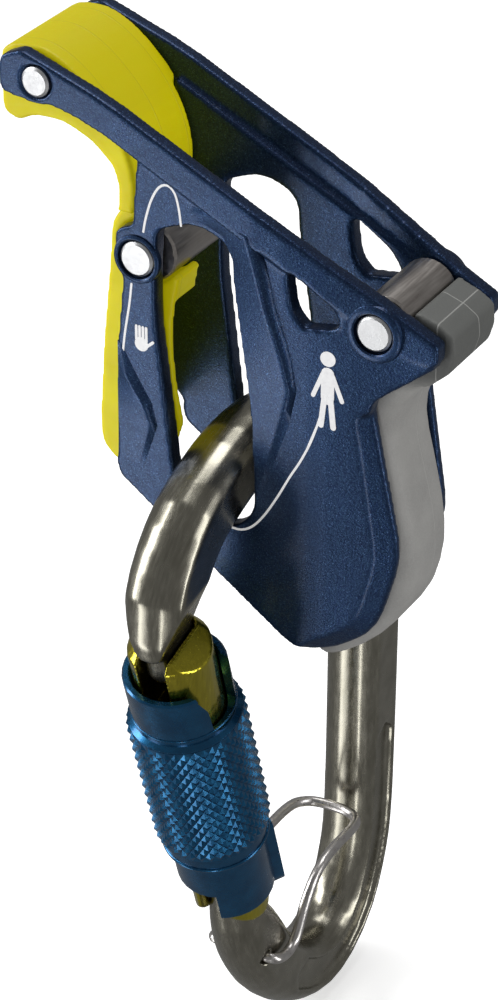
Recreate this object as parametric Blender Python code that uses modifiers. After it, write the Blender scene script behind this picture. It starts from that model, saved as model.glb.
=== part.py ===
"""Assisted-braking belay device with its twist-lock carabiner.

Two cast side plates stand either side of a rope channel, tied by three rivets.
The rope runs round the front guide and the brake pin, and over the bow of the
carabiner, which hangs across both slots.  X runs rearward, Y across the plates
and Z up, with the origin on the middle of the brake pin.
"""
import math

import bmesh
import bpy
from mathutils import Matrix, Vector

# Everything below is in millimetres; the model itself is in metres.
MM = 0.001
ARC_STEP = math.radians(14)
ROUND_STEPS = 26

# Side plates: distances from the middle plane.
WEB_INNER = 7.45
WEB_OUTER = 9.95
RIM_INNER = 8.6
RIM_OUTER = 10.9
REAR_INNER = 6.3
REAR_OUTER = 8.9
WEB_TOE_IN = (26.0, 44.0)
RIM_TOE_IN = (18.0, 44.0)
CLEARANCE = 0.3
GUIDE_HALF_WIDTH = 7.15
GUIDE_NOSE_HALF_WIDTH = 8.3

# Rivets: centre (x, z), head radius, depth of the head's underside from the middle.
FRONT_RIVET = (-14.5, 22.5, 2.1, 10.4)
BRAKE_RIVET = (0.0, 0.0, 2.5, 9.45)
REAR_RIVET = (35.3, -2.0, 2.55, 8.9)
RIVET_SHAFT = 1.5
FRONT_SHAFT = 1.1
HEAD_HEIGHT = 0.8
BRAKE_PIN_RADIUS = 4.4
REAR_BUSH_RADIUS = 4.0

# Carabiner: its plane, rod and the bow's axis, about which it swings.
CARABINER_X = 11.3
BOW_AXIS_Z = -31.2
ROD_RADIUS = 5.5
ROD_HALF_FLAT = 4.5

# Gate, sleeve and hinge, in the gate's own frame: Z along the gate from its pivot.
GATE_PIVOT = (CARABINER_X, -6.11, -100.5)
GATE_LEAN = math.radians(17.19)
GATE_RADIUS = 5.5
GATE_HEAD_RADIUS = 5.9
GATE_TOP = 53.5
SHOULDER_HEIGHT = 54.1
TONGUE_RADIUS = 4.2
TONGUE_HALF_WIDTH = 1.85
TONGUE_END = 48.8
SLEEVE_RADIUS = 8.2
SLEEVE_RIM = 47.8
SLEEVE_FOOT = 11.3
KNURL_TOP = 38.8
KNURL_FOOT = 14.3

# Wire keeper: where its legs are hinged in the frame.
KEEPER_PIVOT = (CARABINER_X, -1.8, -116.7)
WIRE_RADIUS = 0.85

PLANES = {
    "XY": Matrix.Identity(4),
    "XZ": Matrix.Rotation(math.pi / 2, 4, "X"),
    "YZ": Matrix(((0, 0, 1, 0), (1, 0, 0, 0), (0, 1, 0, 0), (0, 0, 0, 1))),
}
WORLD = Matrix.Identity(4)
GATE_FRAME = (Matrix.Translation(Vector(GATE_PIVOT) * MM)
              @ Matrix.Rotation(GATE_LEAN, 4, "X"))
SIDES = {"left": -1, "right": 1}

for item in list(bpy.data.objects):
    bpy.data.objects.remove(item)


def new_collection(name):
    collection = bpy.data.collections.new(name)
    bpy.context.scene.collection.children.link(collection)
    return collection


parts = new_collection("belay_device")
cutters = new_collection("cutters")


def make_material(name, colour, metallic, roughness):
    material = bpy.data.materials.new(name)
    material.use_nodes = True
    shader = material.node_tree.nodes["Principled BSDF"]
    shader.inputs["Base Color"].default_value = (*colour, 1.0)
    shader.inputs["Metallic"].default_value = metallic
    shader.inputs["Roughness"].default_value = roughness
    return material


def eased(x, start, end):
    """0 before start, 1 after end, and a smooth rise between."""
    part = min(1.0, max(0.0, (x - start) / (end - start)))
    return 0.5 - 0.5 * math.cos(math.pi * part)


def web_inner(x):
    return WEB_INNER + (REAR_INNER - WEB_INNER) * eased(x, *WEB_TOE_IN)


def rounded_outline(corners):
    """Points of a closed outline whose corners (u, v, radius) become arcs."""
    points = []
    count = len(corners)
    for index in range(count):
        corner = Vector(corners[index][:2])
        back = Vector(corners[index - 1][:2]) - corner
        ahead = Vector(corners[(index + 1) % count][:2]) - corner
        radius = corners[index][2] if len(corners[index]) > 2 else 0.0
        half_angle = back.angle(ahead) / 2
        turn = math.pi - 2 * half_angle
        if radius <= 0 or turn < 0.03:
            points.append(corner)
            continue
        reach = radius / math.tan(half_angle)
        limit = 0.48 * min(back.length, ahead.length)
        if reach > limit:
            radius *= limit / reach
            reach = limit
        start = corner + back.normalized() * reach
        inward = (back.normalized() + ahead.normalized()).normalized()
        centre = corner + inward * (radius / math.sin(half_angle))
        side = 1 if (-back).cross(ahead) > 0 else -1
        steps = max(1, math.ceil(turn / ARC_STEP))
        for step in range(steps + 1):
            spin = Matrix.Rotation(side * turn * step / steps, 2)
            points.append(centre + spin @ (start - centre))
    return points


def arc(centre, radius, start, end, steps):
    """Points on an arc, with its angles in degrees."""
    points = []
    for step in range(steps + 1):
        angle = math.radians(start + (end - start) * step / steps)
        points.append(Vector((centre[0] + radius * math.cos(angle),
                              centre[1] + radius * math.sin(angle))))
    return points


def smooth_path(points, spacing):
    """A Catmull-Rom curve through the points, sampled about every spacing."""
    path = [Vector(point) for point in points]
    ends = [2 * path[0] - path[1]] + path + [2 * path[-1] - path[-2]]
    result = []
    for index in range(1, len(ends) - 2):
        before, start, end, after = ends[index - 1:index + 3]
        steps = max(1, round((end - start).length / spacing))
        for step in range(steps):
            t = step / steps
            result.append(0.5 * (2 * start + (end - before) * t
                                 + (2 * before - 5 * start + 4 * end - after) * t ** 2
                                 + (3 * start - before - 3 * end + after) * t ** 3))
    result.append(path[-1])
    return result


def finish_mesh(mesh, name, material, frame):
    """Puts a mesh in the model as a named object, smooth where it is round."""
    edit = bmesh.new()
    edit.from_mesh(mesh)
    bmesh.ops.remove_doubles(edit, verts=edit.verts, dist=0.001 * MM)
    bmesh.ops.recalc_face_normals(edit, faces=edit.faces)
    edit.to_mesh(mesh)
    edit.free()
    mesh.materials.clear()
    if material:
        mesh.materials.append(material)
        mesh.shade_smooth()
        mesh.set_sharp_from_angle(angle=math.radians(32))
    solid = bpy.data.objects.new(name, mesh)
    solid.matrix_world = frame
    parts.objects.link(solid)
    return solid


def mesh_from_curve(curve, name, place, material, frame):
    """The closed solid that a curve object makes, as a mesh object."""
    holder = bpy.data.objects.new(name + "_curve", curve)
    holder.matrix_world = place
    bpy.context.scene.collection.objects.link(holder)
    graph = bpy.context.evaluated_depsgraph_get()
    mesh = bpy.data.meshes.new_from_object(holder.evaluated_get(graph))
    mesh.name = name
    mesh.transform(holder.matrix_world)
    bpy.data.objects.remove(holder)
    return finish_mesh(mesh, name, material, frame)


def prism(name, outlines, plane, low, high, material=None, frame=WORLD):
    """A flat outline in one plane, filled between two levels on the third axis."""
    curve = bpy.data.curves.new(name, "CURVE")
    curve.dimensions = "2D"
    curve.fill_mode = "BOTH"
    curve.extrude = (high - low) / 2 * MM
    for outline in outlines:
        spline = curve.splines.new("POLY")
        spline.points.add(len(outline) - 1)
        for point, place in zip(spline.points, outline):
            point.co = (place[0] * MM, place[1] * MM, 0, 1)
        spline.use_cyclic_u = True
    level = (low + high) / 2 * MM
    if plane == "XZ":
        level = -level
    place = PLANES[plane] @ Matrix.Translation((0, 0, level))
    return mesh_from_curve(curve, name, place, material, frame)


def swept(name, path, radius, resolution, material, factors=None, frame=WORLD):
    """A round rod or wire along a path."""
    curve = bpy.data.curves.new(name, "CURVE")
    curve.dimensions = "3D"
    curve.bevel_depth = radius * MM
    curve.bevel_resolution = resolution
    curve.use_fill_caps = True
    spline = curve.splines.new("POLY")
    spline.points.add(len(path) - 1)
    for index, place in enumerate(path):
        spline.points[index].co = (*(Vector(place) * MM), 1)
        if factors:
            spline.points[index].radius = factors[index]
    return mesh_from_curve(curve, name, WORLD, material, frame)


def rod(name, start, end, radius, material=None, frame=WORLD, steps=ROUND_STEPS):
    """A plain cylinder between two points."""
    start = Vector(start) * MM
    end = Vector(end) * MM
    turn = (end - start).to_track_quat("Z", "Y").to_matrix().to_4x4()
    place = Matrix.Translation((start + end) / 2) @ turn
    edit = bmesh.new()
    bmesh.ops.create_cone(edit, cap_ends=True, segments=steps, radius1=radius * MM,
                          radius2=radius * MM, depth=(end - start).length, matrix=place)
    mesh = bpy.data.meshes.new(name)
    edit.to_mesh(mesh)
    edit.free()
    return finish_mesh(mesh, name, material, frame)


def box(name, low, high, material=None, frame=WORLD):
    """A plain block between two opposite corners."""
    low = Vector(low) * MM
    high = Vector(high) * MM
    size = high - low
    place = Matrix.Translation((low + high) / 2) @ Matrix.Diagonal((*size, 1))
    edit = bmesh.new()
    bmesh.ops.create_cube(edit, size=1, matrix=place)
    mesh = bpy.data.meshes.new(name)
    edit.to_mesh(mesh)
    edit.free()
    return finish_mesh(mesh, name, material, frame)


def turned(name, profile, material, frame, closed=False, steps=ROUND_STEPS):
    """A turned solid from a profile of (radius, height) that runs down its outside."""
    mesh = bpy.data.meshes.new(name)
    edit = bmesh.new()
    points = [edit.verts.new((radius * MM, 0, height * MM)) for radius, height in profile]
    for first, second in zip(points, points[1:]):
        edit.edges.new((first, second))
    if closed:
        edit.edges.new((points[-1], points[0]))
    edit.to_mesh(mesh)
    edit.free()
    mesh.materials.append(material)
    solid = bpy.data.objects.new(name, mesh)
    solid.matrix_world = frame
    parts.objects.link(solid)
    screw = solid.modifiers.new("Turn", "SCREW")
    screw.axis = "Z"
    screw.angle = 2 * math.pi
    screw.steps = steps
    screw.render_steps = steps
    screw.use_merge_vertices = True
    screw.merge_threshold = 0.001 * MM
    screw.use_smooth_shade = True
    return solid


def combine(target, tool, operation):
    """Joins, cuts or trims a solid with a tool, which moves to the cutters."""
    modifier = target.modifiers.new(operation.title(), "BOOLEAN")
    modifier.operation = operation
    modifier.solver = "EXACT"
    modifier.object = tool
    parts.objects.unlink(tool)
    cutters.objects.link(tool)
    tool.hide_render = True
    tool.display_type = "WIRE"


def set_origin(solid, point):
    """Moves a world-aligned solid's origin to a point, leaving its shape in place."""
    shift = Vector(point) * MM
    solid.data.transform(Matrix.Translation(-shift))
    solid.location = shift


def plan_outline(inner, outer, inner_rear, outer_rear, toe_in, side):
    """A plate seen from above: its inner and outer faces lean in toward the rear."""
    stations = [-40.0, toe_in[0]]
    steps = 6
    for step in range(1, steps + 1):
        stations.append(toe_in[0] + (toe_in[1] - toe_in[0]) * step / steps)
    stations.append(60.0)
    inside = []
    outside = []
    for x in stations:
        share = eased(x, *toe_in)
        inside.append((x, side * (inner + (inner_rear - inner) * share)))
        outside.append((x, side * (outer + (outer_rear - outer) * share)))
    return inside + outside[::-1]


def loft(name, sections, material):
    """A skin through closed sections with as many points each, capped at both ends."""
    edit = bmesh.new()
    rings = []
    for section in sections:
        rings.append([edit.verts.new(point * MM) for point in section])
    for lower, upper in zip(rings, rings[1:]):
        count = len(lower)
        for index in range(count):
            following = (index + 1) % count
            edit.faces.new((lower[index], lower[following], upper[following], upper[index]))
    edit.faces.new(rings[0][::-1])
    edit.faces.new(rings[-1])
    mesh = bpy.data.meshes.new(name)
    edit.to_mesh(mesh)
    edit.free()
    return finish_mesh(mesh, name, material, WORLD)


navy = make_material("navy_plate", (0.012, 0.026, 0.085), 0.55, 0.42)
yellow = make_material("yellow_guide", (0.78, 0.80, 0.02), 0.0, 0.45)
grey = make_material("grey_grip", (0.10, 0.10, 0.10), 0.0, 0.62)
rivet_steel = make_material("rivet_steel", (0.55, 0.56, 0.57), 1.0, 0.38)
pin_steel = make_material("pin_steel", (0.42, 0.40, 0.38), 1.0, 0.35)
gunmetal = make_material("frame_gunmetal", (0.20, 0.18, 0.14), 0.95, 0.34)
gold = make_material("gate_gold", (0.42, 0.36, 0.03), 0.9, 0.25)
blue = make_material("sleeve_blue", (0.010, 0.055, 0.18), 0.85, 0.3)
spring_steel = make_material("spring_steel", (0.45, 0.45, 0.45), 1.0, 0.35)
keeper_steel = make_material("keeper_steel", (0.60, 0.59, 0.58), 1.0, 0.16)

# ---------------------------------------------------------------- side plates

WEB_OUTLINE = [
    (-4.6, 18.3, 0.6), (-4.6, 17.1, 0), (0.35, 16.5, 8), (-0.7, 4.7, 0.8),
    (-3.5, 3.6, 2.2), (-3.4, -1.8, 1.5), (-2.3, -3.2, 1.5), (-3.4, -14.0, 40),
    (-3.9, -33.6, 2.5), (7.6, -42.0, 28), (26.0, -55.0, 7), (35.6, -48.6, 10),
    (39.0, -36.0, 13), (34.5, -12.8, 3.5), (44.3, -4.9, 0.8), (41.0, -3.0, 0),
    (23.0, 4.9, 0), (-3.0, 17.6, 0)]
RIM_OUTLINE = [
    (-20.2, 20.1, 1.2), (-20.2, 25.1, 1.8), (-16.9, 26.5, 2), (-4.2, 22.1, 40),
    (23.3, 8.9, 150), (44.2, -1.9, 0.8), (44.3, -4.9, 0.8), (40.0, -4.6, 0),
    (23.0, 3.9, 0), (-2.6, 16.4, 0), (-4.5, 17.3, 0), (-8.3, 18.7, 6),
    (-12.3, 19.7, 6), (-14.5, 19.3, 3)]
SLOT_OUTLINE = [
    (2.6, -8.0, 30), (3.0, 5.0, 2.4), (9.0, 7.4, 6), (14.3, 5.4, 3.4),
    (14.8, -1.0, 20), (17.3, -18.0, 40), (18.1, -37.3, 6), (6.0, -37.1, 3.5)]
WINDOW_OUTLINE = [
    (22.8, 4.6, 0.6), (23.0, 1.2, 6), (23.5, -1.8, 3), (25.2, -3.7, 1.0),
    (31.0, -2.6, 1.2), (29.0, 0.6, 6), (25.7, 2.8, 4)]
CHEEK_OUTLINE = [
    (-4.5, 18.1, 0.4), (-4.3, 8.6, 4), (-6.2, 2.5, 3), (-6.6, -14.0, 20), (-6.7, -27.5, 3),
    (-3.6, -31.0, 0.5), (-3.0, -31.0, 0), (-3.0, 3.4, 0), (0.6, 3.4, 0), (2.0, 12.0, 0),
    (2.0, 15.0, 0)]
REAR_TRIM = 0.8
EDGE_INSET = 2.4
EDGE_DEPTH = 1.5
RIM_REAR_INNER = REAR_INNER + 0.2
RIM_REAR_OUTER = REAR_OUTER + 0.15


def edge_cutter(name, side):
    """A wedge along the lower rear edge of a plate, which chamfers its outer face."""
    outline = rounded_outline(WEB_OUTLINE)
    run = [index for index, point in enumerate(outline)
           if point.x > 24.0 and -56.0 < point.y < -13.4]
    sections = []
    for place, index in enumerate(run):
        point = outline[index]
        along = (outline[(index + 1) % len(outline)] - outline[index - 1]).normalized()
        outward = Vector((along.y, -along.x))
        fade = min(1.0, (place + 0.6) / 2.0, (len(run) - place - 0.4) / 2.0)
        outer = WEB_OUTER + (REAR_OUTER - WEB_OUTER) * eased(point.x, *WEB_TOE_IN)
        level = outer + (1 - fade) * EDGE_DEPTH * 1.1
        section = []
        for reach, rise in ((0.8, -1.8), (-1.7, 0.7), (0.8, 0.7)):
            spot = point + outward * EDGE_INSET * reach
            section.append(Vector((spot.x, side * (level + EDGE_DEPTH * rise), spot.y)))
        sections.append(section)
    wedge = loft(name + "_edge", sections, None)
    return wedge


def side_plate(name, side):
    low, high = sorted((side * 4.0, side * 13.0))
    corners = []
    for x, z, radius in WEB_OUTLINE:
        trim = REAR_TRIM if side > 0 and x > 35.0 and z < -20.0 else 0.0
        corners.append((x - trim, z, radius))
    plate = prism(name, [rounded_outline(corners)], "XZ", low, high, navy)
    plan = plan_outline(WEB_INNER, WEB_OUTER, REAR_INNER, REAR_OUTER, WEB_TOE_IN, side)
    combine(plate, prism(name + "_web_plan", [plan], "XY", -70, 40), "INTERSECT")
    rim = prism(name + "_rim", [rounded_outline(RIM_OUTLINE)], "XZ", low, high)
    plan = plan_outline(RIM_INNER, RIM_OUTER, RIM_REAR_INNER, RIM_REAR_OUTER,
                        RIM_TOE_IN, side)
    combine(rim, prism(name + "_rim_plan", [plan], "XY", -70, 40), "INTERSECT")
    combine(plate, edge_cutter(name, side), "DIFFERENCE")
    combine(plate, rim, "UNION")
    slot = prism(name + "_slot", [rounded_outline(SLOT_OUTLINE)], "XZ", low, high)
    combine(plate, slot, "DIFFERENCE")
    window = prism(name + "_window", [rounded_outline(WINDOW_OUTLINE)], "XZ", low, high)
    combine(plate, window, "DIFFERENCE")
    holes = (("front", FRONT_RIVET, FRONT_SHAFT), ("brake", BRAKE_RIVET, RIVET_SHAFT),
             ("rear", REAR_RIVET, RIVET_SHAFT))
    for label, (x, z, head, depth), shaft in holes:
        hole = rod(name + "_" + label + "_hole", (x, low, z), (x, high, z),
                   shaft + CLEARANCE, steps=24)
        combine(plate, hole, "DIFFERENCE")
        seat = rod(name + "_" + label + "_seat", (x, side * (depth - CLEARANCE), z),
                   (x, side * 14.0, z), head + CLEARANCE, steps=28)
        combine(plate, seat, "DIFFERENCE")
    return plate


for label, side in SIDES.items():
    side_plate(label + "_side_plate", side)
cheek = prism("right_side_plate_cheek", [rounded_outline(CHEEK_OUTLINE)], "XZ",
              WEB_INNER + 0.05, WEB_OUTER - 0.1)
combine(bpy.data.objects["right_side_plate"], cheek, "UNION")


def rivet(name, centre, shaft, material):
    """One rivet through both plates, its heads upset at either end."""
    x, z, head, depth = centre
    top = depth + HEAD_HEIGHT
    profile = [(0, top), (head - 0.35, top), (head, top - 0.3), (head, depth),
               (shaft, depth), (shaft, -depth), (head, -depth),
               (head, 0.3 - top), (head - 0.35, -top), (0, -top)]
    place = Matrix.Translation(Vector((x, 0, z)) * MM) @ Matrix.Rotation(math.pi / 2, 4, "X")
    turned(name, profile, material, place, steps=24)


rivet("front_rivet", FRONT_RIVET, FRONT_SHAFT, rivet_steel)
rivet("brake_rivet", BRAKE_RIVET, RIVET_SHAFT, rivet_steel)
rivet("rear_rivet", REAR_RIVET, RIVET_SHAFT, rivet_steel)


def bush(name, centre, radius, half_length):
    """A plain steel tube round a rivet's shank, between the plates."""
    inner = RIVET_SHAFT + CLEARANCE
    profile = [(inner, half_length), (radius - 0.3, half_length),
               (radius, half_length - 0.3), (radius, 0.3 - half_length),
               (radius - 0.3, -half_length), (inner, -half_length)]
    place = (Matrix.Translation(Vector((centre[0], 0, centre[1])) * MM)
             @ Matrix.Rotation(math.pi / 2, 4, "X"))
    turned(name, profile, pin_steel, place, closed=True)


bush("brake_pin", BRAKE_RIVET, BRAKE_PIN_RADIUS, WEB_INNER - CLEARANCE)
bush("rear_bush", REAR_RIVET, REAR_BUSH_RADIUS, web_inner(37.0) - CLEARANCE)

# ----------------------------------------------------------------- front guide

GUIDE_NOSE = [
    (-21.6, 24.8, 2.4), (-19.5, 26.0, 3), (-17.0, 26.3, 4), (-15.0, 26.2, 5), (-13.2, 25.6, 6),
    (-10.9, 24.4, 8), (-8.5, 22.5, 8), (-6.2, 20.2, 8), (-4.0, 17.4, 8), (-2.5, 14.4, 8),
    (-1.6, 11.4, 8), (-1.3, 8.6, 6), (-1.5, 6.4, 0)]
GUIDE_HOLLOW = [
    (-4.2, -6.9, 1.0), (-5.0, -9.5, 6), (-5.8, -15.3, 20), (-6.3, -21.7, 20),
    (-6.7, -28.0, 20), (-6.2, -38.0, 0), (9.0, -38.0, 0), (9.0, -6.9, 0)]
GUIDE_WALL = 0.8
GUIDE_FOOT = [
    (4.6, -3.2, 0), (3.6, -8.0, 20), (3.4, -14.0, 20), (4.0, -20.0, 20),
    (5.0, -25.0, 3), (3.9, -28.5, 4), (1.6, -34.0, 3), (-5.6, -34.0, 4),
    (-8.0, -31.5, 3), (-8.3, -28.0, 20), (-7.4, -15.3, 40), (-6.1, -3.0, 40),
    (-5.6, 3.0, 4), (-3.9, 5.6, 2), (-3.7, 9.0, 4), (-4.6, 11.8, 3), (-7.8, 14.6, 5),
    (-12.5, 16.6, 8), (-17.0, 16.2, 4), (-19.2, 14.9, 2), (-21.6, 16.0, 1.6)]
corners = GUIDE_NOSE[:]
for point in arc((0, 0), BRAKE_PIN_RADIUS + CLEARANCE, 112, 325, 16):
    corners.append((point.x, point.y, 0))
corners += GUIDE_FOOT
guide = prism("front_guide", [rounded_outline(corners)], "XZ", -GUIDE_NOSE_HALF_WIDTH,
              GUIDE_NOSE_HALF_WIDTH, yellow)
NARROW_ZONE = {
    "left": [(-4.9, 40), (25, 40), (25, -60), (-30, -60), (-30, 5.4), (-1.4, 5.4),
             (-1.2, 16.2), (-4.9, 16.2)],
    "right": [(-4.9, 40), (25, 40), (25, -60), (-30, -60), (-30, 10), (-4.9, 10)]}
for label, side in SIDES.items():
    low, high = sorted((side * GUIDE_HALF_WIDTH, side * 12))
    combine(guide, prism("front_guide_side_" + label, [NARROW_ZONE[label]], "XZ", low, high),
            "DIFFERENCE")
combine(guide, prism("front_guide_hollow", [rounded_outline(GUIDE_HOLLOW)], "XZ",
                     GUIDE_WALL - GUIDE_HALF_WIDTH, 12), "DIFFERENCE")
combine(guide, box("front_guide_lip", (-1.5, -1.5, -8.0), (8.0, 12.0, -1.5)), "DIFFERENCE")
x, z = FRONT_RIVET[:2]
combine(guide, rod("front_guide_hole", (x, -12, z), (x, 12, z), FRONT_SHAFT + CLEARANCE,
                   steps=24), "DIFFERENCE")

# ------------------------------------------------------------------- rear grip

GRIP_STATIONS = [
    ((41.4, -8.6), (33.2, -8.0)), ((40.2, -10.6), (30.6, -9.0)), ((38.6, -12.6), (29.0, -10.8)),
    ((37.2, -14.6), (28.2, -13.4)), ((36.5, -17.0), (27.6, -16.2)),
    ((36.3, -19.6), (27.2, -19.4)), ((36.8, -22.6), (26.8, -22.6)),
    ((37.6, -25.6), (26.3, -25.9)), ((38.4, -28.8), (25.6, -29.4)),
    ((39.2, -32.2), (24.8, -33.0)), ((39.7, -35.6), (23.9, -36.6)),
    ((39.8, -38.8), (23.1, -39.8)), ((39.3, -42.2), (22.6, -42.6)),
    ((38.4, -45.4), (22.4, -45.2)), ((36.8, -48.4), (22.4, -47.0)),
    ((34.6, -51.1), (22.6, -48.4)), ((32.2, -53.3), (23.0, -49.6)),
    ((29.8, -55.0), (23.6, -50.6)), ((27.6, -56.1), (24.2, -51.4))]
GRIP_ROUND = 2.8
GRIP_INNER_ROUND = 0.8


def grip_section(outer, inner):
    """One closed section of the grip, rounded more on its outer side."""
    outer = Vector(outer)
    inner = Vector(inner)
    inward = (inner - outer).normalized()
    depth = (inner - outer).length
    ring = []

    def spot(distance, slack):
        place = outer + inward * distance
        half = web_inner(place.x) - CLEARANCE - slack
        return place, half

    half_side = []
    for step in range(5):
        angle = math.radians(90 * (4 - step) / 4)
        half_side.append(spot(GRIP_ROUND * (1 - math.sin(angle)), GRIP_ROUND * (1 - math.cos(angle))))
    for step in range(1, 4):
        half_side.append(spot(GRIP_ROUND + (depth - GRIP_ROUND - GRIP_INNER_ROUND) * step / 4, 0))
    for step in range(3):
        angle = math.radians(45 * step)
        half_side.append(spot(depth - GRIP_INNER_ROUND * (1 - math.sin(angle)),
                             GRIP_INNER_ROUND * (1 - math.cos(angle))))
    for place, half in half_side:
        ring.append(Vector((place.x, -half, place.y)))
    for place, half in reversed(half_side):
        ring.append(Vector((place.x, half, place.y)))
    return ring


grip = loft("rear_grip", [grip_section(*station) for station in GRIP_STATIONS], grey)
BLOCK_OUTLINE = [
    (39.6, 0.6, 0.5), (42.9, -0.5, 1.0), (44.9, -1.8, 0.8), (45.2, -4.4, 0.8),
    (44.4, -7.2, 1.5), (41.4, -9.9, 1.5), (35.5, -11.0, 0.5), (31.5, -9.6, 0.5),
    (33.4, -7.6, 0)]
block = prism("rear_grip_block", [rounded_outline(BLOCK_OUTLINE)], "XZ", -9, 9)
plan = []
for x in (28, 30, 32, 34, 36, 38, 40, 42, 44, 50):
    plan.append((x, -(web_inner(x) - CLEARANCE)))
for x, y in plan[::-1]:
    plan.append((x, -y))
combine(block, prism("rear_grip_plan", [plan], "XY", -70, 40), "INTERSECT")
combine(grip, block, "UNION")
x, z = REAR_RIVET[:2]
combine(grip, rod("rear_grip_seat", (x, -12, z), (x, 12, z), REAR_BUSH_RADIUS + CLEARANCE + 0.1,
                  steps=36), "DIFFERENCE")
DOWEL = (30.5, -44.0)
combine(grip, rod("rear_grip_dowel_hole", (DOWEL[0], -12, DOWEL[1]), (DOWEL[0], 12, DOWEL[1]),
                  1.5, steps=20), "DIFFERENCE")
dowel_half = WEB_INNER + 0.9
rod("grip_dowel", (DOWEL[0], -dowel_half, DOWEL[1]), (DOWEL[0], dowel_half, DOWEL[1]), 1.2,
    pin_steel, steps=20)
for label, side in SIDES.items():
    seat = rod(label + "_dowel_seat", (DOWEL[0], 0, DOWEL[1]),
               (DOWEL[0], side * (dowel_half + CLEARANCE), DOWEL[1]), 1.5, steps=20)
    combine(bpy.data.objects[label + "_side_plate"], seat, "DIFFERENCE")

# ------------------------------------------------------------- carabiner frame

gate_up = GATE_FRAME.to_3x3() @ Vector((0, 0, 1))
pivot = Vector(GATE_PIVOT)


def on_gate_axis(height):
    point = pivot + gate_up * height
    return (point.y, point.z)


FRAME_PATH = [
    (*on_gate_axis(SHOULDER_HEIGHT), 1.0), (*on_gate_axis(SHOULDER_HEIGHT + 2.2), 1.0),
    (-22.4, -42.3, 1.0), (-19.9, -37.9, 1.0), (-15.8, -34.0, 1.0), (-10.0, -31.4, 1.0), (-4.0, -29.7, 1.0),
    (3.0, -29.5, 1.0), (10.0, -31.0, 1.0), (17.0, -33.4, 1.0), (24.0, -37.6, 1.0),
    (30.0, -43.5, 1.0), (33.8, -51.0, 1.0), (35.1, -60.0, 1.0), (35.1, -70.0, 1.0),
    (35.1, -80.0, 1.0), (34.9, -97.0, 1.0), (34.5, -112.0, 1.0), (33.2, -120.0, 1.0),
    (29.6, -127.6, 1.0), (24.2, -131.6, 1.0), (18.8, -132.4, 1.0), (13.3, -130.5, 1.0),
    (8.4, -127.0, 1.0), (4.1, -122.3, 1.0), (1.4, -117.9, 1.0), (-0.9, -113.6, 0.94),
    (-3.5, -108.6, 0.76), (-5.0, -104.6, 0.62), (*on_gate_axis(0.0), 0.54)]
path = smooth_path(FRAME_PATH, 3.2)
frame_points = [(CARABINER_X, point[0], point[1]) for point in path]
frame_factors = [min(1.0, point[2]) for point in path]
frame = swept("carabiner_frame", frame_points, ROD_RADIUS, 9, gunmetal, frame_factors)
slab = box("frame_flats", (CARABINER_X - ROD_HALF_FLAT, -60, -150),
           (CARABINER_X + ROD_HALF_FLAT, 60, 0))
combine(frame, slab, "INTERSECT")
for label, side in SIDES.items():
    taper = [(side * TONGUE_HALF_WIDTH, 40.0), (side * TONGUE_HALF_WIDTH, 54.4),
             (side * 4.6, 61.0), (side * 12.0, 61.0), (side * 12.0, 40.0)]
    cutter = prism("frame_nose_taper_" + label, [taper], "XZ", -12, 12, frame=GATE_FRAME)
    combine(frame, cutter, "DIFFERENCE")
nose = rod("frame_nose", (0, 0, TONGUE_END), (0, 0, SHOULDER_HEIGHT + 2), TONGUE_RADIUS,
           frame=GATE_FRAME, steps=28)
combine(nose, box("frame_nose_flats", (-TONGUE_HALF_WIDTH, -8, 40), (TONGUE_HALF_WIDTH, 8, 70),
                  frame=GATE_FRAME), "INTERSECT")
combine(frame, nose, "UNION")
knuckle = rod("frame_knuckle", (-2.0, 0, 0), (2.0, 0, 0), 3.1, frame=GATE_FRAME, steps=32)
for label, side in SIDES.items():
    relief = rod("frame_shoulder_" + label, (side * 2.0, 0, 0), (side * 8.0, 0, 0),
                 GATE_RADIUS + CLEARANCE, frame=GATE_FRAME, steps=40)
    combine(frame, relief, "DIFFERENCE")
combine(frame, knuckle, "UNION")
combine(frame, rod("frame_pin_hole", (-6, 0, 0), (6, 0, 0), 1.5, frame=GATE_FRAME, steps=24),
        "DIFFERENCE")


def ribbon(points, half_width):
    """The outline of a band of one width along an open path, with round ends."""
    centre = [Vector(point) for point in points]
    left = []
    right = []
    for index, point in enumerate(centre):
        ahead = centre[min(index + 1, len(centre) - 1)]
        back = centre[max(index - 1, 0)]
        along = (ahead - back).normalized()
        across = Vector((-along.y, along.x))
        left.append(point + across * half_width)
        right.append(point - across * half_width)
    start = centre[0] + (centre[0] - centre[1]).normalized() * half_width * 0.8
    end = centre[-1] + (centre[-1] - centre[-2]).normalized() * half_width * 0.8
    return [start] + left + [end] + right[::-1]


POCKET_PATH = [
    (34.9, -98.0), (34.5, -112.0), (33.2, -120.0), (29.6, -127.6), (24.2, -131.6),
    (18.8, -132.4), (13.3, -130.5), (9.6, -128.0)]
pocket_points = smooth_path([(y, z, 0) for y, z in POCKET_PATH], 3.0)
pocket_outline = ribbon([point.xy for point in pocket_points], 2.5)
for label, side in SIDES.items():
    low, high = sorted((CARABINER_X + side * 3.4, CARABINER_X + side * 6.0))
    pocket = prism("frame_pocket_" + label, [pocket_outline], "YZ", low, high)
    combine(frame, pocket, "DIFFERENCE")
    socket = rod("keeper_socket_" + label,
                 (CARABINER_X + side * 2.9, KEEPER_PIVOT[1], KEEPER_PIVOT[2]),
                 (CARABINER_X + side * 7.0, KEEPER_PIVOT[1], KEEPER_PIVOT[2]),
                 WIRE_RADIUS + 0.35, steps=16)
    combine(frame, socket, "DIFFERENCE")
set_origin(frame, (CARABINER_X, 0, BOW_AXIS_Z))

# ----------------------------------------------------------------- wire keeper

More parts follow.
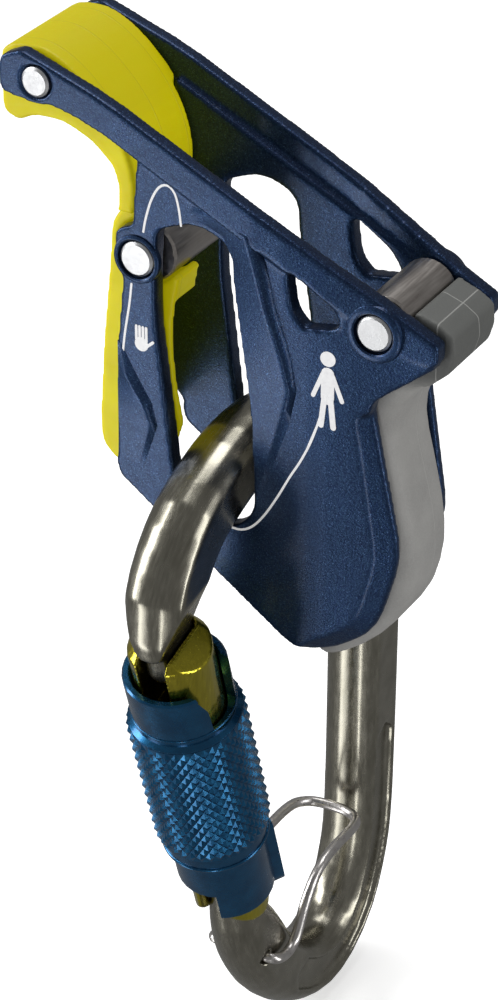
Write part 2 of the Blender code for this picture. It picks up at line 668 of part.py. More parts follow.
LEG_PATH = [
    (-3.3, -1.8, -116.7), (-5.0, -1.8, -116.7), (-5.65, -0.9, -117.1),
    (-5.65, 1.8, -117.9), (-5.65, 4.2, -117.1), (-5.65, 5.8, -114.6),
    (-5.65, 7.3, -112.1), (-5.65, 9.8, -109.4), (-5.65, 13.0, -107.8),
    (-5.65, 17.2, -107.4), (-5.65, 21.4, -107.6), (-5.2, 24.2, -107.9),
    (-3.9, 26.0, -108.3), (-1.9, 26.6, -108.4)]
loop = LEG_PATH + [(-x, y, z) for x, y, z in LEG_PATH[::-1]]
wire_path = smooth_path([(CARABINER_X + x, y, z) for x, y, z in loop], 1.6)
keeper = swept("wire_keeper", wire_path, WIRE_RADIUS, 3, keeper_steel)
set_origin(keeper, KEEPER_PIVOT)

# ------------------------------------------------------------------------ gate

arm = turned("gate_arm", [
    (0, GATE_TOP), (4.9, GATE_TOP), (GATE_HEAD_RADIUS, GATE_TOP - 1.1),
    (GATE_HEAD_RADIUS, 38.0), (GATE_RADIUS, 37.6), (GATE_RADIUS, -7.0), (0, -7.0)],
    gold, GATE_FRAME, steps=28)
ends = arc((0, 0), GATE_RADIUS, 190, 350, 14)
foot = [tuple(point) for point in ends] + [(6.4, 2.0), (6.4, 60), (-6.4, 60), (-6.4, 2.0)]
combine(arm, prism("gate_foot", [foot], "YZ", -8, 8, frame=GATE_FRAME), "INTERSECT")
slot_half = TONGUE_HALF_WIDTH + 0.35
channel = rounded_outline([(-slot_half, -12, 0), (slot_half, -12, 0), (slot_half, 4.6, 1.2),
                           (-slot_half, 4.6, 1.2)])
combine(arm, prism("gate_channel", [channel], "XY", 43.0, 60, frame=GATE_FRAME), "DIFFERENCE")
bevel = [(2.4, GATE_TOP + 0.2), (9.0, GATE_TOP - 4.6), (9.0, 60), (2.4, 60)]
combine(arm, prism("gate_bevel", [bevel], "XZ", -9, 9, frame=GATE_FRAME), "DIFFERENCE")
combine(arm, box("gate_fork", (-2.3, -9, -9), (2.3, 9, 3.7), frame=GATE_FRAME), "DIFFERENCE")
combine(arm, rod("gate_pin_hole", (-9, 0, 0), (9, 0, 0), 1.5, frame=GATE_FRAME, steps=24),
        "DIFFERENCE")
combine(arm, rod("gate_bore", (0, 0, 3.0), (0, 0, 32.5), 1.65, frame=GATE_FRAME, steps=20),
        "DIFFERENCE")
combine(arm, rod("gate_peg_hole", (-2.5, 0, 35.5), (-9, 0, 35.5), 1.05, frame=GATE_FRAME,
                 steps=16), "DIFFERENCE")

rod("gate_pivot_pin", (-5.2, 0, 0), (5.2, 0, 0), 1.2, pin_steel, GATE_FRAME, steps=20)
turned("gate_plunger", [(0, 13.0), (1.3, 13.0), (1.3, 4.4), (0.9, 3.7), (0, 3.5)],
       pin_steel, GATE_FRAME, steps=20)
rod("sleeve_guide_pin", (-2.9, 0, 35.5), (-6.6, 0, 35.5), 0.75, pin_steel, GATE_FRAME, steps=16)


def coil(name, radius, wire, low, high, turns, per_turn):
    """A plain coil spring standing on the gate's axis."""
    points = []
    for step in range(turns * per_turn + 1):
        angle = 2 * math.pi * step / per_turn
        height = low + (high - low) * step / (turns * per_turn)
        points.append((radius * math.cos(angle), radius * math.sin(angle), height))
    return swept(name, points, wire, 1, spring_steel, frame=GATE_FRAME)


coil("gate_spring", 1.0, 0.25, 13.6, 31.9, 7, 6)
coil("sleeve_spring", 6.25, 0.3, 14.2, 33.6, 4, 12)

# -------------------------------------------------------------- locking sleeve

sleeve = turned("locking_sleeve", [
    (6.5, SLEEVE_RIM), (7.2, SLEEVE_RIM), (7.45, SLEEVE_RIM - 0.3), (7.45, KNURL_TOP + 0.5),
    (SLEEVE_RADIUS, KNURL_TOP), (SLEEVE_RADIUS, KNURL_FOOT), (7.7, KNURL_FOOT - 0.4),
    (7.7, SLEEVE_FOOT + 0.4), (7.3, SLEEVE_FOOT), (6.2, SLEEVE_FOOT), (6.2, 12.8),
    (7.0, 13.4), (7.0, 37.4), (6.2, 38.2), (6.2, SLEEVE_RIM - 0.4)],
    blue, GATE_FRAME, closed=True, steps=32)
notch = rounded_outline([(-4.3, 60, 0), (-4.3, 47.0, 0), (-3.3, 44.5, 2.0), (-3.1, 39.6, 1.5),
                         (3.1, 39.6, 1.5), (3.3, 44.5, 2.0), (4.3, 47.0, 0), (4.3, 60, 0)])
combine(sleeve, prism("sleeve_notch", [notch], "YZ", 3.0, 12.0, frame=GATE_FRAME),
        "DIFFERENCE")

collar = turned("sleeve_collar", [
    (5.8, 10.9), (6.6, 10.9), (6.9, 10.6), (6.9, -0.7), (5.8, -0.7)],
    blue, GATE_FRAME, closed=True, steps=32)
combine(collar, box("collar_step", (-12, -12, -6), (2.4, 12, 4.3), frame=GATE_FRAME),
        "DIFFERENCE")
tab_outline = rounded_outline([(-2.5, 10.4, 0.6), (-2.5, -3.6, 2.4), (2.5, -3.6, 2.4),
                               (2.5, 10.4, 0.6)])
tab_frame = GATE_FRAME @ Matrix.Rotation(math.radians(-38), 4, "Z")
combine(collar, prism("collar_tab", [tab_outline], "XZ", 6.05, 7.9, frame=tab_frame), "UNION")
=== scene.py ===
"""Looks of the belay device and its twist-lock carabiner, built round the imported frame."""
import math

import bmesh
import bpy
from mathutils import Matrix, Vector


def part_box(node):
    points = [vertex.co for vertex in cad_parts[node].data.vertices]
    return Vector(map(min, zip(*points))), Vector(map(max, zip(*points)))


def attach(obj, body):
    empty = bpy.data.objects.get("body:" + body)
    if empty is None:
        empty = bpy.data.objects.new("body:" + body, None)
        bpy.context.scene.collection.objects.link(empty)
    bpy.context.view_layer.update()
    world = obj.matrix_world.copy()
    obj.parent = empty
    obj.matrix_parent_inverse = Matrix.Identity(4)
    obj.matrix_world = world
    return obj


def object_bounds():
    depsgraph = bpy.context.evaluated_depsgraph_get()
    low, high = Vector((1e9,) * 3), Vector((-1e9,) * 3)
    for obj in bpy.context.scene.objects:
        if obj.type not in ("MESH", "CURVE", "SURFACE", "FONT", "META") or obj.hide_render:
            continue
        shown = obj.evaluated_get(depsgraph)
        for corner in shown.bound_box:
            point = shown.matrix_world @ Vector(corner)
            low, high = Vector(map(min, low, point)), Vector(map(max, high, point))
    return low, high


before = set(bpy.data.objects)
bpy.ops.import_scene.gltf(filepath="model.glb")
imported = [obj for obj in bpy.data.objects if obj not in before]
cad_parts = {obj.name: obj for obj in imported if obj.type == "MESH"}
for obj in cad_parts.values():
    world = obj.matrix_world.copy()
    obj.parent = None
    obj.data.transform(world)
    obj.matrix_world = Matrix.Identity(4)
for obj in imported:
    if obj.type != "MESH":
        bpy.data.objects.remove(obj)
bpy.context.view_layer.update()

MM = 0.001

# The gate's own frame: Z runs up the gate from its pivot pin.
pin_low, pin_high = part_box("gate_pivot_pin")
GATE_PIVOT = (Vector(pin_low) + Vector(pin_high)) / 2
GATE_LEAN = math.radians(17.19)
GATE_FRAME = Matrix.Translation(GATE_PIVOT) @ Matrix.Rotation(GATE_LEAN, 4, "X")

# Outer face of the side plates, in millimetres from the middle plane.
WEB_OUTER = 9.95
REAR_OUTER = 8.9
WEB_TOE_IN = (26.0, 44.0)


def web_outer(x):
    part = min(1.0, max(0.0, (x - WEB_TOE_IN[0]) / (WEB_TOE_IN[1] - WEB_TOE_IN[0])))
    return WEB_OUTER + (REAR_OUTER - WEB_OUTER) * (0.5 - 0.5 * math.cos(math.pi * part))


# ------------------------------------------------------------------- materials

class Finish:
    """A Principled material whose pattern is laid out in millimetres on the object."""

    def __init__(self, name, metallic, **sockets):
        self.material = bpy.data.materials.new(name)
        self.material.use_nodes = True
        self.nodes = self.material.node_tree.nodes
        self.links = self.material.node_tree.links
        self.shader = self.nodes["Principled BSDF"]
        self.shader.inputs["Metallic"].default_value = metallic
        for socket, value in sockets.items():
            self.shader.inputs[socket.replace("_", " ")].default_value = value
        spot = self.nodes.new("ShaderNodeTexCoord")
        scale = self.nodes.new("ShaderNodeVectorMath")
        scale.operation = "SCALE"
        scale.inputs["Scale"].default_value = 1000.0
        self.links.new(spot.outputs["Object"], scale.inputs[0])
        self.place = scale.outputs[0]
        self.bumps = None

    def feed(self, value, socket):
        if isinstance(value, (int, float)):
            socket.default_value = value
        else:
            self.links.new(value, socket)

    def mapped(self, stretch=(1, 1, 1), turn=(0, 0, 0)):
        node = self.nodes.new("ShaderNodeMapping")
        node.inputs["Rotation"].default_value = turn
        node.inputs["Scale"].default_value = stretch
        self.links.new(self.place, node.inputs["Vector"])
        return node.outputs["Vector"]

    def noise(self, size, detail=2.0, place=None):
        """Noise whose features are about size millimetres across."""
        node = self.nodes.new("ShaderNodeTexNoise")
        node.inputs["Scale"].default_value = 1.0 / size
        node.inputs["Detail"].default_value = detail
        self.links.new(place or self.place, node.inputs["Vector"])
        return node.outputs["Fac"]

    def spread(self, value, low, high, new_low=0.0, new_high=1.0):
        node = self.nodes.new("ShaderNodeMapRange")
        node.inputs["From Min"].default_value = low
        node.inputs["From Max"].default_value = high
        node.inputs["To Min"].default_value = new_low
        node.inputs["To Max"].default_value = new_high
        self.links.new(value, node.inputs["Value"])
        return node.outputs["Result"]

    def math(self, operation, first, second=0.0):
        node = self.nodes.new("ShaderNodeMath")
        node.operation = operation
        self.feed(first, node.inputs[0])
        self.feed(second, node.inputs[1])
        return node.outputs[0]

    def line(self, axis, where, half_width):
        """1 along a fine line across one axis, and 0 away from it."""
        split = self.nodes.new("ShaderNodeSeparateXYZ")
        self.links.new(self.place, split.inputs[0])
        away = self.math("ABSOLUTE", self.math("SUBTRACT", split.outputs[axis], where))
        return self.spread(away, half_width * 0.4, half_width, 1.0, 0.0)

    def facing_up(self, low, high):
        """1 on faces that look up and 0 on upright ones, before any relief."""
        split = self.nodes.new("ShaderNodeSeparateXYZ")
        self.links.new(self.nodes["Texture Coordinate"].outputs["Normal"], split.inputs[0])
        return self.spread(split.outputs[2], low, high)

    def tint(self, amount, first, second):
        """A colour between two, by an amount."""
        node = self.nodes.new("ShaderNodeMix")
        node.data_type = "RGBA"
        self.feed(amount, node.inputs["Factor"])
        for colour, socket in ((first, node.inputs[6]), (second, node.inputs[7])):
            if isinstance(colour, tuple):
                socket.default_value = (*colour, 1.0)
            else:
                self.links.new(colour, socket)
        return node.outputs[2]

    def colour(self, value):
        self.links.new(value, self.shader.inputs["Base Color"])

    def roughness(self, value, low, high):
        self.links.new(self.spread(value, 0.25, 0.75, low, high), self.shader.inputs["Roughness"])

    def bump(self, height, depth, strength=1.0):
        """Relief of a depth in millimetres, over what was there before."""
        node = self.nodes.new("ShaderNodeBump")
        node.inputs["Strength"].default_value = strength
        node.inputs["Distance"].default_value = depth * MM
        self.links.new(height, node.inputs["Height"])
        if self.bumps:
            self.links.new(self.bumps, node.inputs["Normal"])
        self.bumps = node.outputs["Normal"]
        self.links.new(self.bumps, self.shader.inputs["Normal"])


def navy_paint():
    paint = Finish("navy_paint", 0.85, Coat_Weight=0.22, Coat_Roughness=0.2)
    cloud = paint.spread(paint.noise(9.0), 0.3, 0.7)
    base = paint.tint(cloud, (0.0045, 0.017, 0.060), (0.007, 0.025, 0.085))
    grain = paint.spread(paint.noise(0.30, 2.0), 0.35, 0.65)
    base = paint.tint(grain, base, (0.016, 0.044, 0.105))
    # Painted shade: faces that look up are darkened towards a deep navy, standing in for shade along
    # the plates' top edges.
    painted_top_shade = paint.math("MULTIPLY", paint.facing_up(0.3, 0.8), 0.6)
    base = paint.tint(painted_top_shade, base, (0.003, 0.009, 0.034))
    flake = paint.spread(paint.noise(0.16, 1.0), 0.60, 0.78)
    base = paint.tint(paint.math("MULTIPLY", flake, 0.8), base, (0.09, 0.17, 0.34))
    paint.colour(base)
    paint.roughness(paint.noise(1.4), 0.33, 0.43)
    paint.bump(paint.noise(0.28, 2.0), 0.06, 0.9)
    return paint.material


def guide_plastic():
    # Painted light: the yellow emission makes the guide glow with light of its own, brighter than the
    # lamps alone make it.
    plastic = Finish("guide_plastic", 0.0, Subsurface_Weight=0.12, Subsurface_Scale=0.002,
                     Emission_Strength=0.17, Specular_IOR_Level=0.28)
    plastic.shader.inputs["Emission Color"].default_value = (0.95, 0.86, 0.0, 1.0)
    base = plastic.tint(plastic.spread(plastic.noise(7.0), 0.3, 0.7), (0.58, 0.50, 0.001),
                        (0.70, 0.62, 0.002))
    seams = plastic.line(1, -5.9, 0.13)
    for where in (0.6, 6.0):
        seams = plastic.math("MAXIMUM", seams, plastic.line(1, where, 0.13))
    # Painted shade: faces that look up are tinted a darker mustard than the brighter sides.
    base = plastic.tint(plastic.facing_up(0.15, 0.6), base, (0.45, 0.385, 0.0008))
    plastic.colour(plastic.tint(plastic.math("MULTIPLY", seams, 0.35), base,
                                (0.30, 0.27, 0.01)))
    plastic.roughness(plastic.noise(0.9), 0.36, 0.52)
    plastic.bump(plastic.noise(0.35, 2.0), 0.012, 0.6)
    plastic.bump(seams, 0.06, 0.6)
    return plastic.material


def grip_plastic():
    plastic = Finish("grip_plastic", 0.0)
    base = plastic.tint(plastic.spread(plastic.noise(5.0), 0.3, 0.7), (0.32, 0.315, 0.305),
                        (0.38, 0.375, 0.36))
    grain = plastic.spread(plastic.noise(0.22, 2.0), 0.35, 0.75)
    base = plastic.tint(plastic.math("MULTIPLY", grain, 0.35), base, (0.48, 0.475, 0.46))
    split = plastic.nodes.new("ShaderNodeSeparateXYZ")
    plastic.links.new(plastic.place, split.inputs[0])
    block = plastic.spread(split.outputs[2], -11.5, -8.0)
    base = plastic.tint(plastic.math("MULTIPLY", block, 0.88), base, (0.085, 0.09, 0.085))
    cross = plastic.math("MAXIMUM", plastic.line(1, 1.2, 0.12), plastic.line(0, 42.6, 0.12))
    plastic.colour(plastic.tint(plastic.math("MULTIPLY", cross, 0.6), base, (0.48, 0.48, 0.46)))
    plastic.roughness(plastic.noise(0.7), 0.48, 0.66)
    plastic.bump(plastic.noise(0.25, 3.0), 0.03, 0.8)
    plastic.bump(cross, 0.08, 0.7)
    return plastic.material


def brushed(name, dark, light, stretch, low, high, depth=0.012, turn=(0, 0, 0), **sockets):
    """Metal brushed along one direction: streaks, and a slow change of tone."""
    metal = Finish(name, 1.0, **sockets)
    streak = metal.noise(0.35, 3.0, metal.mapped(stretch, turn))
    tone = metal.math("ADD", metal.math("MULTIPLY", metal.spread(metal.noise(5.0), 0.3, 0.7), 0.5),
                      metal.math("MULTIPLY", metal.spread(streak, 0.3, 0.7), 0.5))
    metal.colour(metal.tint(tone, dark, light))
    metal.roughness(streak, low, high)
    metal.bump(streak, depth, 0.5)
    return metal.material


def sleeve_blue():
    metal = Finish("sleeve_blue", 0.9, Coat_Weight=0.35, Coat_Roughness=0.12)
    base = metal.tint(metal.spread(metal.noise(3.0), 0.3, 0.7), (0.004, 0.062, 0.150),
                      (0.008, 0.095, 0.215))
    metal.colour(base)
    metal.roughness(metal.noise(0.6), 0.20, 0.33)
    metal.bump(metal.noise(0.4, 2.0), 0.008, 0.5)
    return metal.material


def knurl_blue():
    metal = Finish("knurl_blue", 0.9, Coat_Weight=0.15, Coat_Roughness=0.2)
    metal.colour(metal.tint(metal.spread(metal.noise(1.3), 0.3, 0.7), (0.005, 0.060, 0.145),
                            (0.013, 0.115, 0.250)))
    metal.roughness(metal.noise(0.5), 0.25, 0.38)
    metal.bump(metal.noise(0.3, 2.0), 0.012, 0.5)
    return metal.material


def printed_white():
    # Painted light: the white emission makes the print glow, brighter than the lamps alone make it.
    ink = Finish("printed_white", 0.0, Emission_Strength=0.22)
    ink.shader.inputs["Emission Color"].default_value = (1.0, 1.0, 1.0, 1.0)
    ink.colour(ink.tint(ink.spread(ink.noise(0.5), 0.3, 0.7), (0.72, 0.72, 0.74),
                        (0.86, 0.86, 0.87)))
    ink.roughness(ink.noise(0.4), 0.45, 0.6)
    ink.bump(ink.noise(0.2), 0.004, 0.5)
    return ink.material


NAVY = navy_paint()
YELLOW = guide_plastic()
GREY = grip_plastic()
RIVET = brushed("rivet_steel", (0.50, 0.51, 0.52), (0.68, 0.68, 0.69), (0.6, 0.6, 0.6), 0.34, 0.48,
                0.02)
PIN = brushed("pin_steel", (0.32, 0.29, 0.27), (0.52, 0.49, 0.46), (1.0, 0.06, 1.0), 0.26, 0.42)
GUNMETAL = brushed("frame_gunmetal", (0.215, 0.205, 0.165), (0.33, 0.315, 0.265),
                   (1.0, 0.14, 0.14), 0.22, 0.30, 0.005)
GOLD = brushed("gate_gold", (0.34, 0.29, 0.015), (0.52, 0.45, 0.035), (1.0, 1.0, 0.12), 0.16,
               0.28, 0.006, Coat_Weight=0.3, Coat_Roughness=0.08)
BLUE = sleeve_blue()
KNURLED = knurl_blue()
SPRING = brushed("spring_steel", (0.34, 0.34, 0.34), (0.52, 0.52, 0.52), (1, 1, 1), 0.25, 0.4)
WIRE = brushed("keeper_steel", (0.44, 0.42, 0.41), (0.62, 0.60, 0.58), (1, 0.3, 0.3), 0.25, 0.36,
               0.002)
WHITE = printed_white()

FINISHES = {
    "left_side_plate": NAVY, "right_side_plate": NAVY, "front_guide": YELLOW, "rear_grip": GREY,
    "front_rivet": RIVET, "brake_rivet": RIVET, "rear_rivet": RIVET, "brake_pin": PIN,
    "rear_bush": PIN, "grip_dowel": PIN, "carabiner_frame": GUNMETAL, "gate_arm": GOLD,
    "gate_pivot_pin": PIN, "gate_plunger": PIN, "sleeve_guide_pin": PIN,
    "gate_spring": SPRING, "sleeve_spring": SPRING, "locking_sleeve": BLUE,
    "sleeve_collar": BLUE, "wire_keeper": WIRE}
# Voxel size and smoothing passes for the cast, forged and moulded pieces' soft edges.
SOFT_EDGES = {"left_side_plate": (0.32, 7), "right_side_plate": (0.32, 7),
              "front_guide": (0.30, 4), "gate_arm": (0.22, 4), "rear_grip": (0.34, 5),
              "carabiner_frame": (0.34, 9)}
ROUNDED = {"locking_sleeve": 0.18, "sleeve_collar": 0.2}


def smoothing_group():
    """Geometry nodes that shade a solid smooth, apart from its edges over 32 degrees."""
    group = bpy.data.node_groups.new("smooth_by_angle", "GeometryNodeTree")
    group.interface.new_socket("Geometry", in_out="INPUT", socket_type="NodeSocketGeometry")
    group.interface.new_socket("Geometry", in_out="OUTPUT", socket_type="NodeSocketGeometry")
    start = group.nodes.new("NodeGroupInput")
    merge = group.nodes.new("GeometryNodeMergeByDistance")
    merge.inputs["Distance"].default_value = 0.002 * MM
    faces = group.nodes.new("GeometryNodeSetShadeSmooth")
    faces.domain = "FACE"
    edges = group.nodes.new("GeometryNodeSetShadeSmooth")
    edges.domain = "EDGE"
    bend = group.nodes.new("GeometryNodeInputMeshEdgeAngle")
    small = group.nodes.new("FunctionNodeCompare")
    small.operation = "LESS_THAN"
    small.inputs[1].default_value = math.radians(32)
    end = group.nodes.new("NodeGroupOutput")
    group.links.new(start.outputs[0], merge.inputs["Geometry"])
    group.links.new(merge.outputs[0], faces.inputs["Geometry"])
    group.links.new(faces.outputs[0], edges.inputs["Geometry"])
    group.links.new(bend.outputs["Unsigned Angle"], small.inputs[0])
    group.links.new(small.outputs[0], edges.inputs["Shade Smooth"])
    group.links.new(edges.outputs[0], end.inputs[0])
    return group


SMOOTHING = smoothing_group()
for name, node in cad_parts.items():
    for slot in node.material_slots:
        slot.material = FINISHES[name]
    if name in SOFT_EDGES:
        size, passes = SOFT_EDGES[name]
        skin = node.modifiers.new("even_skin", "REMESH")
        skin.mode = "VOXEL"
        skin.voxel_size = size * MM
        skin.use_smooth_shade = True
        relax = node.modifiers.new("soft_edges", "SMOOTH")
        relax.factor = 0.5
        relax.iterations = passes
        continue
    soften = node.modifiers.new("smooth_shading", "NODES")
    soften.node_group = SMOOTHING
    if name == "wire_keeper":
        fine = node.modifiers.new("drawn_round", "SUBSURF")
        fine.levels = fine.render_levels = 2
    if name in ROUNDED:
        ease = node.modifiers.new("rounded_edges", "BEVEL")
        ease.width = ROUNDED[name] * MM
        ease.segments = 2
        ease.limit_method = "ANGLE"
        ease.angle_limit = math.radians(50)
        ease.harden_normals = True


# -------------------------------------------------------------- piece building

def new_piece(name, edit, material, body, smooth=35.0):
    """Turns a mesh being edited into a finished piece that rides on a body."""
    bmesh.ops.remove_doubles(edit, verts=edit.verts, dist=0.0005 * MM)
    bmesh.ops.recalc_face_normals(edit, faces=edit.faces)
    mesh = bpy.data.meshes.new(name)
    edit.to_mesh(mesh)
    edit.free()
    mesh.materials.append(material)
    mesh.shade_smooth()
    mesh.set_sharp_from_angle(angle=math.radians(smooth))
    piece = bpy.data.objects.new(name, mesh)
    bpy.context.scene.collection.objects.link(piece)
    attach(piece, body)
    return piece


def smooth_line(points, spacing):
    """A smooth open curve through 2-D points, sampled about every spacing."""
    path = [Vector(point) for point in points]
    ends = [2 * path[0] - path[1]] + path + [2 * path[-1] - path[-2]]
    result = []
    for index in range(1, len(ends) - 2):
        before, start, end, after = ends[index - 1:index + 3]
        steps = max(1, round((end - start).length / spacing))
        for step in range(steps):
            t = step / steps
            result.append(0.5 * (2 * start + (end - before) * t
                                 + (2 * before - 5 * start + 4 * end - after) * t ** 2
                                 + (3 * start - before - 3 * end + after) * t ** 3))
    result.append(path[-1])
    return result


def stroke(points, width, round_ends=True):
    """The outline of a pen stroke of one width along a path, with round ends."""
    half = width / 2
    left = []
    right = []
    for index, point in enumerate(points):
        ahead = points[min(index + 1, len(points) - 1)]
        back = points[max(index - 1, 0)]
        along = (ahead - back).normalized()
        across = Vector((-along.y, along.x))
        left.append(point + across * half)
        right.append(point - across * half)
    first = (points[0] - points[1]).normalized()
    last = (points[-1] - points[-2]).normalized()
    caps = ([], [])
    for cap, centre, out in ((caps[0], points[0], first), (caps[1], points[-1], last)):
        side = Vector((-out.y, out.x))
        for step in range(1, 6):
            angle = math.pi * step / 6
            cap.append(centre + (side * math.cos(angle) + out * math.sin(angle)) * half)
    return left + caps[1][:] + right[::-1] + caps[0][:]


def disc(centre, radius, steps=24):
    return [Vector((centre[0] + radius * math.cos(2 * math.pi * step / steps),
                    centre[1] + radius * math.sin(2 * math.pi * step / steps)))
            for step in range(steps)]


def print_on_plate(name, outlines, side=-1, thickness=0.035):
    """Thin printed shapes lying on a plate's outer face."""
    edit = bmesh.new()
    for order, outline in enumerate(outlines):
        rings = []
        for lift in (-0.03, thickness + 0.006 * order):
            rings.append([edit.verts.new((point.x * MM, side * (web_outer(point.x) + lift) * MM,
                                          point.y * MM)) for point in outline])
        count = len(outline)
        for index in range(count):
            after = (index + 1) % count
            edit.faces.new((rings[0][index], rings[0][after], rings[1][after], rings[1][index]))
        edit.faces.new(rings[0][::-1])
        edit.faces.new(rings[1])
    bmesh.ops.triangulate(edit, faces=[face for face in edit.faces if len(face.verts) > 4])
    return new_piece(name, edit, WHITE, "braking_body")


def ridge(name, side, stations):
    """A crest standing proud of a plate's outer face, with a long and a short flank."""
    feet, crests, outers, rises = [], [], [], []
    for here, there in zip(stations, stations[1:]):
        for step in range(5):
            share = step / 5
            for line, first, last in zip((feet, crests, outers), here, there):
                line.append(Vector(first).lerp(Vector(last), share))
            rises.append(here[3] + (there[3] - here[3]) * share)
    for line, last in zip((feet, crests, outers), stations[-1]):
        line.append(Vector(last))
    rises.append(stations[-1][3])
    edit = bmesh.new()
    rows = []
    for foot, crest, outer, rise in zip(feet, crests, outers, rises):
        lift = rise
        section = [(foot, -0.3), (foot, 0.02), (crest + (foot - crest) * 0.12, lift * 0.93),
                   (crest, lift), (crest + (outer - crest) * 0.2, lift * 0.9),
                   (outer, 0.02), (outer, -0.3)]
        rows.append([edit.verts.new((point.x * MM, side * (web_outer(point.x) + height) * MM,
                                     point.y * MM)) for point, height in section])
    for here, there in zip(rows, rows[1:]):
        for index in range(len(here)):
            after = (index + 1) % len(here)
            edit.faces.new((here[index], here[after], there[after], there[index]))
    edit.faces.new(rows[0][::-1])
    edit.faces.new(rows[-1])
    return new_piece(name, edit, NAVY, "braking_body", 60.0)


def turned_ring(name, profile, place, material, body, steps=64):
    """A closed ring from a profile of (radius, height) in millimetres."""
    edit = bmesh.new()
    rings = []
    for step in range(steps):
        angle = 2 * math.pi * step / steps
        rings.append([edit.verts.new(place @ Vector((radius * math.cos(angle) * MM,
                                                     radius * math.sin(angle) * MM,
                                                     height * MM)))
                      for radius, height in profile])
    count = len(profile)
    for step in range(steps):
        here, there = rings[step], rings[(step + 1) % steps]
        for index in range(count):
            after = (index + 1) % count
            edit.faces.new((here[index], there[index], there[after], here[after]))
    return new_piece(name, edit, material, body)


# ------------------------------------------------------------ plates: raised work

# Stations of (inner foot, crest, outer foot, rise).
SLOT_COLLAR = [
    ((8.0, 7.9), (8.4, 9.0), (8.6, 9.8), 0.0), ((10.6, 7.6), (12.4, 9.3), (13.0, 10.2), 0.75),
    ((13.2, 6.6), (17.2, 7.9), (18.3, 8.6), 1.05), ((14.7, 3.6), (18.5, 3.4), (19.9, 3.6), 1.1),
    ((15.1, -1.0), (20.0, -1.7), (21.2, -1.9), 1.1), ((16.2, -9.0), (22.4, -8.6), (23.5, -8.8), 1.0),
    ((16.9, -13.5), (23.5, -12.9), (24.3, -13.4), 0.8),
    ((17.6, -18.5), (22.0, -18.2), (23.2, -18.6), 0.5),
    ((18.4, -29.0), (18.8, -29.2), (19.3, -29.8), 0.0)]
LEG_RIDGE = [
    ((-3.3, -13.0), (-3.0, -13.2), (-2.7, -13.4), 0.0),
    ((-3.3, -17.0), (-1.9, -18.2), (-0.6, -17.2), 0.4),
    ((-3.4, -21.0), (0.8, -21.6), (1.9, -21.2), 0.6), ((-3.4, -25.0), (1.9, -24.4), (2.8, -24.6), 0.5),
    ((-3.0, -31.0), (-0.4, -31.4), (0.4, -31.8), 0.0)]
BRAKE_RIVET = (0.0, 0.0, 2.5)
REAR_RIVET = (35.3, -2.0, 2.55)
for label, side in (("left", -1), ("right", 1)):
    for seat, (x, z, head), width, rise in (("brake", BRAKE_RIVET, 0.75, 0.35),
                                            ("rear", REAR_RIVET, 1.3, 0.5)):
        inner = head + 0.32
        outer = inner + width
        face = web_outer(x)
        profile = [(inner, face - 0.5), (inner, face + rise * 0.6), (inner + 0.2, face + rise),
                   (outer - 0.45, face + rise), (outer - 0.12, face + rise * 0.55),
                   (outer, face - 0.1), (outer, face - 0.5)]
        turn = Matrix.Rotation(math.pi / 2 * -side, 4, "X")
        place = Matrix.Translation((x * MM, 0, z * MM)) @ turn
        turned_ring(label + "_" + seat + "_boss", profile, place, NAVY, "braking_body")
    ridge(label + "_slot_collar", side, SLOT_COLLAR)
    ridge(label + "_leg_ridge", side, LEG_RIDGE)

# -------------------------------------------------------------------- pictograms

rope_over = smooth_line([(1.1, 4.3), (1.5, 6.3), (2.4, 9.2), (3.6, 11.3), (4.9, 11.9),
                         (6.0, 11.0), (6.6, 8.9), (6.9, 6.6)], 0.5)
rope_down = smooth_line([(-0.9, -3.9), (-1.3, -7.0), (-2.1, -11.6), (-2.6, -15.6)], 0.8)
rope_load = smooth_line([(28.4, -14.2), (27.6, -17.0), (26.5, -20.3), (25.0, -23.6),
                         (23.4, -26.5), (21.4, -30.4), (19.4, -33.8), (17.6, -36.0),
                         (15.9, -37.0), (14.2, -37.1)], 0.6)
print_on_plate("rope_lines", [stroke(line, 0.32) for line in (rope_over, rope_down, rope_load)])
# A plain upright person, the same on both sides of its middle line.
PERSON_X = 28.9
SHOULDERS = -9.4
HIPS = -13.0
climber = [disc((PERSON_X, SHOULDERS + 2.2), 1.1),
           stroke([Vector((PERSON_X, SHOULDERS)), Vector((PERSON_X, HIPS))], 1.9)]
for side in (-1, 1):
    climber.append(stroke([Vector((PERSON_X + side * 0.7, SHOULDERS - 0.1)),
                           Vector((PERSON_X + side * 2.1, SHOULDERS - 3.6))], 0.62))
    climber.append(stroke([Vector((PERSON_X + side * 0.45, HIPS)),
                           Vector((PERSON_X + side * 0.9, HIPS - 4.2))], 0.8))
print_on_plate("climber_pictogram", climber, thickness=0.045)
# A plain open palm, clear of the rope line.
PALM = (0.5, -12.6)
FINGER_SPACING = 0.52
hand = [disc(PALM, 1.05)]
for finger in range(4):
    x = PALM[0] + (finger - 1.5) * FINGER_SPACING
    hand.append(stroke([Vector((x, PALM[1] + 0.6)), Vector((x, PALM[1] + 2.6))], 0.4))
hand.append(stroke([Vector((PALM[0] + 0.8, PALM[1] - 0.2)),
                    Vector((PALM[0] + 1.8, PALM[1] + 0.7))], 0.42))
print_on_plate("hand_pictogram", hand, thickness=0.045)

# ------------------------------------------------------------------ sleeve knurl

KNURL_FOOT = 14.5
KNURL_TOP = 38.6
KNURL_ROWS = 12
KNURL_COLUMNS = 38
KNURL_VALLEY = 8.22
KNURL_TIP = 8.62
KNURL_BORE = 7.9


